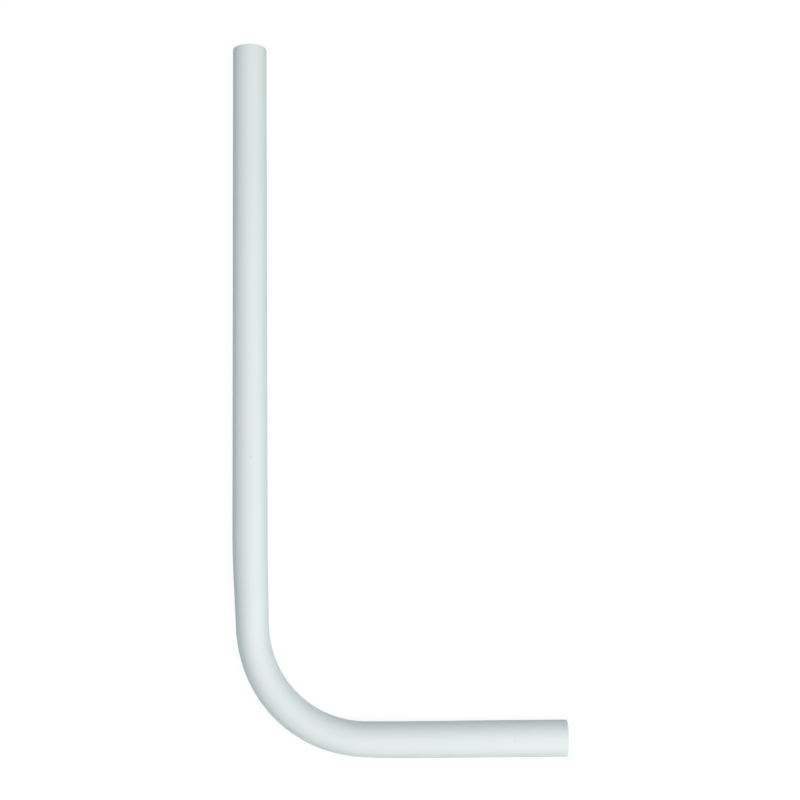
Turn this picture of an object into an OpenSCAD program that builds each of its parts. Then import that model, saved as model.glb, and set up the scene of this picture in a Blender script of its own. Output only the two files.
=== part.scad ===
// Flush pipe for a cistern: one plastic tube with a single right-angle bend.
// It lies flat: the long leg runs along Y, the short leg along X, and Z is up.
// The frame's origin is the middle of the pipe's outline, on the floor. Sizes are in mm.

/* [Tube] */
// Outside diameter of the tube
tube_d = 32; // [25:0.5:50]
// Wall thickness
wall_t = 2; // [1.5:0.1:3.5]

/* [Legs] */
// Long leg, from the corner of the centre lines to the inlet end
long_leg = 650; // [400:5:900]
// Short leg, from the corner of the centre lines to the outlet end
short_leg = 284; // [220:2:450]

/* [Bend] */
// Radius of the bend at the centre line
bend_r = 104; // [80:1:150]
// Narrowing of the tube at the start of the bend, by the long leg, in percent
squeeze_in = 8.6; // [0:0.1:12]
// Narrowing of the tube at the end of the bend, by the short leg, in percent
squeeze_out = 3.6; // [0:0.1:12]
// Drift of the tube to the inside of the bend, as a multiple of the narrowing
drift = 1.8; // [1:0.1:2.5]
// Widening of the tube across the bend, as a share of the narrowing
bulge = 0.6; // [0:0.05:1]
// Length of the long leg over which the narrowing starts to come in
ease_in = 82; // [30:1:120]
// Length of the bend over which it still comes in
ease_in_bend = 31; // [0:1:60]
// Length of the bend over which the narrowing starts to go out, by the short leg
ease_out_bend = 22; // [0:1:60]
// Length of the short leg over which it still goes out
ease_out = 34; // [10:1:60]
// Wall lost on the outside of the bend and gained on the inside
thinning = 0.25; // [0:0.05:0.6]

/* [Ends] */
// Chamfer around the outside of both ends
deburr_out = 0.7; // [0.3:0.1:1.2]
// Chamfer around the inside of both ends
deburr_in = 0.4; // [0.2:0.1:0.6]

/* [Hidden] */
tube_r = tube_d / 2;
bore_r = tube_r - wall_t;
bend_len = bend_r * PI / 2;
// The bent length reaches this far into the wall of each straight leg
lap = 4;
// Clearance that keeps the bent length inside the wall where the two overlap
skin = 0.01;
// Straight, round lengths of the two legs
long_str = long_leg - bend_r - ease_in;
short_str = short_leg - bend_r - ease_out;
mid_x = (short_leg - tube_r) / 2;
mid_y = (long_leg - tube_r) / 2;
// Steps along and around the bent length
n_in = 12;
n_bend = 24;
n_out = 6;
sides = 40;

function fade(d, len) = d <= 0 ? 1 : d >= len ? 0 : 0.5 * (1 + cos(180 * d / len));
// Share of the bend passed at the distance s from its start
function share(s) = min(max(s / bend_len, 0), 1);
// Share of the narrowing that is in force at s
function eased(s) =
    fade(ease_in_bend - s, ease_in_bend + ease_in)
    * fade(s - bend_len + ease_out_bend, ease_out_bend + ease_out);
// Loss of half width at s
function loss(s) = tube_r * eased(s) * (squeeze_in + (squeeze_out - squeeze_in) * share(s)) / 100;
// Centre line, and the direction from it to the inside of the bend
function line_x(s) = bend_r * (1 - cos(90 * share(s))) + max(s - bend_len, 0);
function line_y(s) = bend_r * (1 - sin(90 * share(s))) + max(-s, 0);
function in_x(s) = cos(90 * share(s));
function in_y(s) = sin(90 * share(s));

// One ring of points: half width w, half height h, centre moved by c to the inside
function ring(s, w, h, c) = [
    for (i = [0 : sides - 1])
        let (a = 360 * i / sides, d = c - w * cos(a))
        [line_x(s) + d * in_x(s), line_y(s) + d * in_y(s), h * sin(a)]
];
function outer_ring(s) = ring(
    s,
    tube_r - loss(s) - skin,
    tube_r + bulge * loss(s) - skin,
    drift * loss(s)
);
// The bore's rings are drawn around the round bore, not within it
function bore_ring(s) = ring(
    s,
    (bore_r - loss(s) + skin) / cos(180 / sides),
    (bore_r + bulge * loss(s) + skin) / cos(180 / sides),
    drift * loss(s) - thinning * eased(s)
);

stops = concat(
    [-ease_in - lap],
    [for (i = [0 : n_in - 1]) -ease_in * (1 - i / n_in)],
    [for (i = [0 : n_bend - 1]) bend_len * i / n_bend],
    [for (i = [0 : n_out]) bend_len + ease_out * i / n_out],
    [bend_len + ease_out + lap]
);
n_stops = len(stops);
n_skin = n_stops * sides;
// The bend is the lowest place, so it sets the height of the centre line
axis_z = tube_r + bulge * max([for (s = stops) loss(s)]) - skin;

// Straight leg, standing on the end that meets the bend
module leg(length) {
    rotate_extrude($fn = 96)
        polygon([
            [bore_r, 0],
            [tube_r, 0],
            [tube_r, length - deburr_out],
            [tube_r - deburr_out, length],
            [bore_r + deburr_in, length],
            [bore_r, length - deburr_in]
        ]);
}

// Bent length with the narrowed section and the fades into both legs
module bent() {
    points = concat(
        [for (s = stops) each outer_ring(s)],
        [for (s = stops) each bore_ring(s)]
    );
    function at(k, j, i) = k * n_skin + j * sides + (i % sides);
    side_faces = [
        for (j = [0 : n_stops - 2], i = [0 : sides - 1])
            each [
                [at(0, j, i), at(0, j, i + 1), at(0, j + 1, i + 1)],
                [at(0, j, i), at(0, j + 1, i + 1), at(0, j + 1, i)],
                [at(1, j, i + 1), at(1, j, i), at(1, j + 1, i)],
                [at(1, j, i + 1), at(1, j + 1, i), at(1, j + 1, i + 1)]
            ]
    ];
    end_faces = [
        for (i = [0 : sides - 1])
            each [
                [at(0, 0, i + 1), at(0, 0, i), at(1, 0, i), at(1, 0, i + 1)],
                [at(0, n_stops - 1, i), at(0, n_stops - 1, i + 1),
                 at(1, n_stops - 1, i + 1), at(1, n_stops - 1, i)]
            ]
    ];
    polyhedron(points, concat(side_faces, end_faces), convexity = 6);
}

module pipe() {
    color([0.87, 0.89, 0.89])
        translate([-mid_x, -mid_y, axis_z])
            union() {
                translate([0, bend_r + ease_in, 0])
                    rotate([-90, 0, 0])
                        leg(long_str);
                translate([short_leg - short_str, 0, 0])
                    rotate([0, 90, 0])
                        leg(short_str);
                bent();
            }
}

pipe();
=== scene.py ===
"""Looks of the flush pipe: one satin plastic tube with a long leg, a right-angle bend and a short leg.

Metres, in the row's frame: the long leg runs along +Y, the short leg along +X and Z is up.
"""

import math

import bpy
import numpy as np
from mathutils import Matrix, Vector


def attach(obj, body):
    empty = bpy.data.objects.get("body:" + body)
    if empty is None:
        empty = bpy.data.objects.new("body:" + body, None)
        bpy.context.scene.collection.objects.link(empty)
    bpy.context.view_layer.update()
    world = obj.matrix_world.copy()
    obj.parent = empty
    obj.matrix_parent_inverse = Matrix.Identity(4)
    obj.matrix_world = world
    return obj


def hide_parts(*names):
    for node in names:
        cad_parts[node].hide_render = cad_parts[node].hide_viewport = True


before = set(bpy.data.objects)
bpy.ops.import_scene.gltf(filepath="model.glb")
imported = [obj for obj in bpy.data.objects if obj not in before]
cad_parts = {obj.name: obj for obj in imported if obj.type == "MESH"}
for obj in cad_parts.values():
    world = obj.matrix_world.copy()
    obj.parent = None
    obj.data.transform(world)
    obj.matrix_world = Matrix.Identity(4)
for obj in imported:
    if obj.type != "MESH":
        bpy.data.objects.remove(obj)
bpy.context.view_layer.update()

# Sizes of the tube and its bend, as in the part's source
MM = 0.001
TUBE_R = 16.0 * MM
BORE_R = 14.0 * MM
LONG_LEG = 650.0 * MM
SHORT_LEG = 284.0 * MM
BEND_R = 104.0 * MM
BEND_LEN = BEND_R * math.pi / 2
LOSS_IN = 0.086  # share of the half width lost at the start of the bend, by the long leg
LOSS_OUT = 0.036  # and at its end, by the short leg
BULGE = 0.6
DRIFT = 1.8
EASE_IN = 82.0 * MM
EASE_IN_BEND = 31.0 * MM
EASE_OUT_BEND = 22.0 * MM
EASE_OUT = 34.0 * MM
THINNING = 0.25 * MM
SKIN = 0.01 * MM
MID_X = (SHORT_LEG - TUBE_R) / 2
MID_Y = (LONG_LEG - TUBE_R) / 2
# Distances along the centre line, from the start of the bend
INLET = -(LONG_LEG - BEND_R)
OUTLET = BEND_LEN + SHORT_LEG - BEND_R

# The cut ends: mostly round edges, and a slight slope that fades over a short length
EDGE_OUT = 0.5 * MM
EDGE_IN = 0.35 * MM
ROUND_SHARE = 0.9  # the rest of an edge is a flat chamfer
EDGE_OUT_STEPS = 5
EDGE_IN_STEPS = 4
SAWN = 12.0 * MM
SLOPE_IN = 1.3 * MM
SLOPE_OUT = 1.4 * MM
SLOPE_IN_TURN = 0.35  # radians from the top of the tube to the deepest place of the cut
SLOPE_OUT_TURN = 0.68  # and from its underside, both to the outer side of the bend

# Steps of the mesh, around the tube and along it
SIDES = 96
END_STEP = 2.5 * MM
LEG_STEP = 9.0 * MM
BEND_STEP = 2.0 * MM


def fade(d, length):
    """1 before the fade and 0 after it."""
    return 0.5 * (1 + np.cos(np.pi * np.clip(d / length, 0, 1)))


def share(s):
    """Share of the bend passed at the distance s from its start."""
    return np.clip(s / BEND_LEN, 0, 1)


def eased(s):
    """Share of the narrowing that is in force at s."""
    coming = fade(EASE_IN_BEND - s, EASE_IN_BEND + EASE_IN)
    return coming * fade(s - BEND_LEN + EASE_OUT_BEND, EASE_OUT_BEND + EASE_OUT)


def loss(s):
    """Loss of half width in the plane of the bend."""
    return TUBE_R * eased(s) * (LOSS_IN + (LOSS_OUT - LOSS_IN) * share(s))


# The bend is the lowest place, so it sets the height of the centre line
MOST_LOSS = float(loss(np.linspace(-EASE_IN, BEND_LEN, num=2000)).max())
AXIS_Z = TUBE_R + BULGE * MOST_LOSS - SKIN


def sloped(s, around):
    """The distance s at each angle around the tube, with the slope of the cuts."""
    near_in = np.clip(1 - (s - INLET) / SAWN, 0, 1)
    near_out = np.clip(1 - (OUTLET - s) / SAWN, 0, 1)
    top = 0.5 + 0.5 * np.sin(around + SLOPE_IN_TURN)
    underside = 0.5 - 0.5 * np.sin(around - SLOPE_OUT_TURN)
    return s + SLOPE_IN * near_in * top - SLOPE_OUT * near_out * underside


def ring(s, radius, bore):
    """A ring of points, and the place of each on the tube before it was bent."""
    around = 2 * np.pi * np.arange(SIDES) / SIDES
    along = sloped(s, around)
    turn = 0.5 * np.pi * share(s)
    wide = radius - loss(s)
    high = radius + BULGE * loss(s)
    shift = DRIFT * loss(s)
    if bore:
        shift -= THINNING * eased(s)
    else:
        # The skin comes off over the first quarter of the narrowing, and the lowest place is on the floor
        high -= SKIN * min(1.0, 4 * eased(s))
    inward = shift - wide * np.cos(around)
    x = BEND_R * (1 - np.cos(turn)) + np.maximum(along - BEND_LEN, 0) + inward * np.cos(turn)
    y = BEND_R * (1 - np.sin(turn)) + np.maximum(-along, 0) + inward * np.sin(turn)
    points = np.stack([x - MID_X, y - MID_Y, high * np.sin(around) + AXIS_Z], 1)
    way = np.stack([radius * np.cos(around), radius * np.sin(around), along], 1)
    return points, way


def steps(start, end, size):
    """Even steps of about the given size, without the end itself."""
    count = max(1, round((end - start) / size))
    return [start + (end - start) * i / count for i in range(count)]


def edge(t):
    """Shares of an edge's size: how far it has dropped, and how far it still has to run, at t of its turn."""
    a = 0.5 * math.pi * t
    drop = ROUND_SHARE * (1 - math.cos(a)) + (1 - ROUND_SHARE) * t
    run = ROUND_SHARE * (1 - math.sin(a)) + (1 - ROUND_SHARE) * (1 - t)
    return drop, run


def rim():
    """(depth from the cut, radius, share of sawn face) across the wall, from outside to bore."""
    out = []
    for i in range(EDGE_OUT_STEPS + 1):
        t = i / EDGE_OUT_STEPS
        drop, run = edge(t)
        out.append((EDGE_OUT * run, TUBE_R - EDGE_OUT * drop, t))
    outer, inner = TUBE_R - EDGE_OUT, BORE_R + EDGE_IN
    out += [(0.0, outer + (inner - outer) * t, 1.0) for t in (0.25, 0.5, 0.75)]
    for i in range(EDGE_IN_STEPS + 1):
        t = i / EDGE_IN_STEPS
        drop, run = edge(t)
        out.append((EDGE_IN * drop, BORE_R + EDGE_IN * run, 1 - t))
    return out


def all_rings():
    """(distance, radius, in the bore, share of sawn face): out along the skin, and back through the bore."""
    skin = (
        steps(INLET + EDGE_OUT, INLET + SAWN, END_STEP)
        + steps(INLET + SAWN, -EASE_IN, LEG_STEP)
        + steps(-EASE_IN, 0, END_STEP)
        + steps(0, BEND_LEN, BEND_STEP)
        + steps(BEND_LEN, BEND_LEN + EASE_OUT, BEND_STEP)
        + steps(BEND_LEN + EASE_OUT, OUTLET - SAWN, LEG_STEP)
        + steps(OUTLET - SAWN, OUTLET - EDGE_OUT, END_STEP)
    )
    cut = rim()
    rings = [(s, TUBE_R, False, 0.0) for s in skin]
    rings += [(OUTLET - depth, radius, False, sawn) for depth, radius, sawn in cut]
    rings += [(s, BORE_R, True, 0.0) for s in reversed(skin[1:])]
    rings += [(INLET + depth, radius, False, sawn) for depth, radius, sawn in reversed(cut[1:])]
    return rings


def tube_faces(points, count):
    """Four-sided faces of a closed tube of rings, turned so that they look outwards."""
    j, i = np.meshgrid(np.arange(count), np.arange(SIDES), indexing="ij")
    next_j, next_i = (j + 1) % count, (i + 1) % SIDES
    corners = [j * SIDES + i, next_j * SIDES + i, next_j * SIDES + next_i, j * SIDES + next_i]
    quads = np.stack(corners, -1).reshape(-1, 4)
    a, b, c, d = (points[quads[:, k]] for k in range(4))
    volume = (np.einsum("ij,ij->i", a, np.cross(b, c)) + np.einsum("ij,ij->i", a, np.cross(c, d))).sum()
    return quads[:, ::-1] if volume < 0 else quads


def make_tube():
    """The whole pipe, with what its material needs to know at each point."""
    rings = all_rings()
    made = [ring(s, radius, bore) for s, radius, bore, _ in rings]
    points = np.concatenate([p for p, _ in made])
    way = np.concatenate([w for _, w in made])
    sawn = np.repeat([cut_share for _, _, _, cut_share in rings], SIDES)
    inside = np.repeat([float(bore) for _, _, bore, _ in rings], SIDES)
    quads = tube_faces(points, len(rings))
    mesh = bpy.data.meshes.new("tube")
    mesh.from_pydata(points.tolist(), [], quads.tolist())
    mesh.polygons.foreach_set("use_smooth", np.ones(len(quads), bool))
    for name, kind, values in (
        ("tube_way", "FLOAT_VECTOR", way),
        ("tube_sawn", "FLOAT", sawn),
        ("tube_inside", "FLOAT", inside),
    ):
        held = mesh.attributes.new(name, kind, "POINT")
        field = "vector" if kind == "FLOAT_VECTOR" else "value"
        held.data.foreach_set(field, np.asarray(values, np.float32).ravel())
    mesh.update()
    obj = bpy.data.objects.new("tube", mesh)
    bpy.context.scene.collection.objects.link(obj)
    return obj


class Nodes:
    """Short calls that add nodes to one tree."""

    def __init__(self, tree):
        self.tree = tree
        tree.nodes.clear()

    def add(self, kind, settings=None, **inputs):
        """A node. An input is named as its socket, with _ for a space, or i0, i1 and so on by its number."""
        node = self.tree.nodes.new("ShaderNode" + kind)
        for key, value in (settings or {}).items():
            setattr(node, key, value)
        for key, value in inputs.items():
            self.put(node, key.replace("_", " "), value)
        return node

    def put(self, node, key, value):
        """Link a socket to an input, or set the input's own value."""
        by_number = key[0] == "i" and key[1:].isdigit()
        socket = node.inputs[int(key[1:])] if by_number else node.inputs[key]
        if isinstance(value, bpy.types.NodeSocket):
            self.tree.links.new(value, socket)
        else:
            socket.default_value = value

    def math(self, operation, a, b=0.0, c=0.0, clamp=False):
        node = self.add("Math", {"operation": operation, "use_clamp": clamp}, i0=a, i1=b, i2=c)
        return node.outputs[0]

    def product(self, first, *others):
        for other in others:
            first = self.math("MULTIPLY", first, other)
        return first

    def weighted(self, start, *parts):
        """start plus each value times its weight."""
        for value, weight in parts:
            start = self.math("MULTIPLY_ADD", value, weight, start)
        return start

    def vector(self, operation, a, b):
        node = self.add("VectorMath", {"operation": operation}, i0=a, i1=b)
        return node.outputs["Value" if operation == "DISTANCE" else "Vector"]

    def noise(self, vector, scale, detail=2.0, rough=0.5, stretch=None):
        """Noise from 0 to 1, after the place is multiplied by stretch."""
        if stretch:
            vector = self.vector("MULTIPLY", vector, stretch)
        return self.add("TexNoise", Vector=vector, Scale=scale, Detail=detail, Roughness=rough).outputs["Fac"]

    def ramp(self, value, low, high, start=0.0, end=1.0):
        """start below low, end above high, smooth between them."""
        node = self.add("MapRange", {"interpolation_type": "SMOOTHSTEP"}, Value=value)
        for key, number in zip(("From Min", "From Max", "To Min", "To Max"), (low, high, start, end)):
            node.inputs[key].default_value = number
        return node.outputs["Result"]

    def blend(self, amount, a, b):
        """Colour a, or b where the amount is 1."""
        return self.add("Mix", {"data_type": "RGBA"}, i0=amount, i6=a, i7=b).outputs[2]


def new_material(name):
    made = bpy.data.materials.new(name)
    made.use_nodes = True
    return made, Nodes(made.node_tree)


# Colours of the plastic
BASE = (0.755, 0.766, 0.757, 1.0)
DEEP = (0.712, 0.738, 0.731, 1.0)  # cloudier, cooler places
PALE = (0.795, 0.811, 0.801, 1.0)  # sawn faces and scuffs
RUBBED = (0.56, 0.65, 0.64, 1.0)
SPECK = (0.53, 0.56, 0.55, 1.0)

# Faint rings close to the outlet end: their spacing, and the two ends of the rubbed length
RUB_PITCH = 1.9 * MM
RUB_START = OUTLET - 7.5 * MM
RUB_END = OUTLET - 0.8 * MM

# Small specks on top of the legs: place on the tube before it was bent, size and strength
SPECKS = (
    ((-3.4 * MM, 15.6 * MM, -150.4 * MM), 1.5 * MM, 1.0),
    ((0.7 * MM, 16.0 * MM, 295.9 * MM), 1.6 * MM, 0.5),
)
SPECK_STRETCH = (0.62, 1.0, 1.0)  # a little wider than long
SPECK_RAGGED = 1.2 * MM


def scratches(n, way):
    """Fine scratches in patches, most of them along the tube."""
    settings = {"rotation_type": "AXIS_ANGLE"}
    tilted = n.add("VectorRotate", settings, Vector=way, Axis=(0.0, 1.0, 0.0), Angle=0.16).outputs[0]
    marks = n.noise(tilted, 900.0, 1.0, 0.4, stretch=(1.0, 1.0, 0.03))
    patch = n.ramp(n.noise(way, 22.0), 0.50, 0.68)
    return n.product(n.ramp(marks, 0.70, 0.76), patch)


def rubbed_rings(n, way, across, up, along):
    """Faint rings that a guide rubbed close to the outlet end, on the inner side's upper half."""
    wobble = n.noise(way, 160.0)
    phase = n.weighted(0.0, (along, 2 * math.pi / RUB_PITCH), (wobble, 0.9 * 2 * math.pi))
    waves = n.ramp(n.math("SINE", phase), 0.1, 0.9)
    coming = n.ramp(along, RUB_START, RUB_START + 2.5 * MM)
    going = n.ramp(along, RUB_END - 0.8 * MM, RUB_END, 1.0, 0.0)
    inner_side = n.ramp(across, -12.0 * MM, -8.0 * MM, 1.0, 0.0)
    upper_half = n.ramp(up, -2.0 * MM, 3.0 * MM)
    return n.product(waves, coming, going, inner_side, upper_half)


def specks(n, way):
    """The small specks, with ragged edges."""
    ragged = n.product(n.math("SUBTRACT", n.noise(way, 500.0), 0.5), SPECK_RAGGED)
    stretched = n.vector("MULTIPLY", way, SPECK_STRETCH)
    seen = 0.0
    for place, size, strength in SPECKS:
        centre = tuple(p * k for p, k in zip(place, SPECK_STRETCH))
        away = n.math("ADD", n.vector("DISTANCE", stretched, centre), ragged)
        seen = n.math("MAXIMUM", n.ramp(away, 0.1 * size, 1.2 * size, strength, 0.0), seen)
    return seen


def plastic():
    """Satin, slightly cloudy white plastic with the marks of its die, of handling and of the saw."""
    made, n = new_material("pipe_plastic")
    way = n.add("Attribute", {"attribute_name": "tube_way"}).outputs["Vector"]
    sawn = n.add("Attribute", {"attribute_name": "tube_sawn"}).outputs["Fac"]
    inside = n.add("Attribute", {"attribute_name": "tube_inside"}).outputs["Fac"]
    across, up, along = n.add("SeparateXYZ", Vector=way).outputs

    # Lengthwise streaks and fine lines from the die, clouds, orange peel and grain
    die = n.noise(way, 420.0, 3.0, 0.6, stretch=(1.0, 1.0, 0.02))
    lines = n.noise(way, 1500.0, stretch=(1.0, 1.0, 0.008))
    cloud = n.noise(way, 14.0, 3.0, 0.55)
    peel = n.noise(way, 700.0)
    grain = n.noise(way, 3200.0)
    saw = n.noise(way, 2600.0, 3.0, 0.6, stretch=(1.0, 0.06, 1.0))
    scratch = scratches(n, way)
    rubbed = rubbed_rings(n, way, across, up, along)
    speck = specks(n, way)

    colour = n.blend(n.product(n.ramp(cloud, 0.35, 0.65), 0.25), BASE, DEEP)
    colour = n.blend(n.product(n.ramp(die, 0.40, 0.66), 0.32), colour, DEEP)
    colour = n.blend(n.weighted(0.0, (sawn, 0.72), (scratch, 0.315)), colour, PALE)
    colour = n.blend(n.product(rubbed, 0.55), colour, RUBBED)
    colour = n.blend(n.product(speck, 0.32), colour, SPECK)

    gloss = n.weighted(0.44, (cloud, 0.10), (die, 0.07), (scratch, 0.15), (sawn, 0.22), (inside, 0.04))

    skin_relief = n.weighted(
        0.0, (peel, 0.010), (grain, 0.0015), (lines, 0.004), (die, 0.006), (scratch, -0.010), (rubbed, -0.012)
    )
    relief = n.product(skin_relief, n.math("SUBTRACT", 1.0, sawn))
    relief = n.weighted(relief, (n.product(saw, sawn), 0.05))
    bump = n.add("Bump", Strength=1.0, Distance=MM, Height=relief)

    shader = n.add("BsdfPrincipled", Base_Color=colour, Roughness=gloss, Normal=bump.outputs[0])
    shader.inputs["IOR"].default_value = 1.50
    shader.inputs["Specular IOR Level"].default_value = 0.2
    n.add("OutputMaterial", Surface=shader.outputs[0])
    return made


tube = make_tube()
tube.data.materials.append(plastic())
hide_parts("pipe")
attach(tube, "root")


# The floor sends light back by its colour, and is near white with the object's shadow where it is seen
FLOOR_HALF = 9.0
FLOOR_COLOUR = (0.41, 0.53, 0.532, 1.0)
FLOOR_SHADE = (0.20, 0.20, 0.20, 1.0)
FLOOR_GLOW = 0.855
GLOW_NEAR = 0.65  # the glow rises to white from this distance
GLOW_FAR = 2.6  # to this one
WHITE = (1.0, 1.0, 1.0, 1.0)
SURROUNDINGS = (0.48, 0.98, 1.0, 1.0)
SURROUNDINGS_LEVEL = 0.155

# Lamps: name, place, what it points at, width, depth and watts
LAMPS = (
    ("key", (0.045, -0.36, 1.5), (0.045, -0.36, 0.0), 1.9, 5.2, 36.6),
    ("side", (1.3, -0.5, 1.0), (0.0, -0.25, 0.0), 0.8, 2.5, 16.3),
    ("front", (0.1, -1.9, 0.8), (0.0, -0.2, 0.0), 2.4, 0.8, 5.4),
)

# The camera looks down on the pipe, a little from the short leg's side
CAMERA_PLACE = (0.0527, -0.1583, 1.1621)
CAMERA_TURN = (7.284, 2.474, -0.905)  # degrees about X, Y and Z
CAMERA_LENS = 56.25
CAMERA_SENSOR = 36.0


def seen_ray(n):
    """1 for what the camera sees, also in gloss and through clear things."""
    path = n.add("LightPath").outputs
    seen = n.math("MAXIMUM", path["Is Camera Ray"], path["Is Glossy Ray"])
    return n.math("MAXIMUM", seen, path["Is Transmission Ray"])


def make_floor():
    mesh = bpy.data.meshes.new("floor")
    corners = [(x * FLOOR_HALF, y * FLOOR_HALF, 0) for x, y in ((-1, -1), (1, -1), (1, 1), (-1, 1))]
    mesh.from_pydata(corners, [], [(0, 1, 2, 3)])
    obj = bpy.data.objects.new("floor", mesh)
    bpy.context.scene.collection.objects.link(obj)
    made, n = new_material("floor_pale")
    plain = n.add("BsdfDiffuse", Color=FLOOR_COLOUR)
    shade = n.add("BsdfDiffuse", Color=FLOOR_SHADE)
    away = n.vector("DISTANCE", n.add("NewGeometry").outputs["Position"], (0.0, 0.0, 0.0))
    glow = n.add("Emission", Color=WHITE, Strength=n.ramp(away, GLOW_NEAR, GLOW_FAR, FLOOR_GLOW, 1.0))
    shown = n.add("AddShader", i0=shade.outputs[0], i1=glow.outputs[0])
    mixed = n.add("MixShader", i0=seen_ray(n), i1=plain.outputs[0], i2=shown.outputs[0])
    n.add("OutputMaterial", Surface=mixed.outputs[0])
    mesh.materials.append(made)


def make_world():
    """Weak, cool light from all around, and plain white where it is seen."""
    world = bpy.data.worlds.new("studio")
    world.use_nodes = True
    bpy.context.scene.world = world
    n = Nodes(world.node_tree)
    soft = n.add("Background", Color=SURROUNDINGS, Strength=SURROUNDINGS_LEVEL)
    white = n.add("Background", Color=WHITE, Strength=1.0)
    mixed = n.add("MixShader", i0=seen_ray(n), i1=soft.outputs[0], i2=white.outputs[0])
    n.add("OutputWorld", Surface=mixed.outputs[0])


def area_lamp(name, place, aim, wide, deep, watts):
    lamp = bpy.data.lights.new(name, "AREA")
    lamp.shape = "RECTANGLE"
    lamp.size, lamp.size_y = wide, deep
    lamp.energy = watts
    obj = bpy.data.objects.new(name, lamp)
    obj.location = place
    look = (Vector(aim) - Vector(place)).normalized()
    # A lamp that isn't turned already shines straight down, with its width along X
    if look.z > -0.999:
        obj.rotation_euler = look.to_track_quat("-Z", "Y").to_euler()
    obj.visible_camera = False
    bpy.context.scene.collection.objects.link(obj)


def make_camera():
    camera = bpy.data.objects.new("camera", bpy.data.cameras.new("camera"))
    camera.data.sensor_width = CAMERA_SENSOR
    camera.data.lens = CAMERA_LENS
    camera.location = CAMERA_PLACE
    camera.rotation_euler = [math.radians(angle) for angle in CAMERA_TURN]
    bpy.context.scene.collection.objects.link(camera)
    bpy.context.scene.camera = camera


make_floor()
make_world()
for lamp_settings in LAMPS:
    area_lamp(*lamp_settings)
make_camera()
bpy.context.scene.view_settings.view_transform = "Standard"
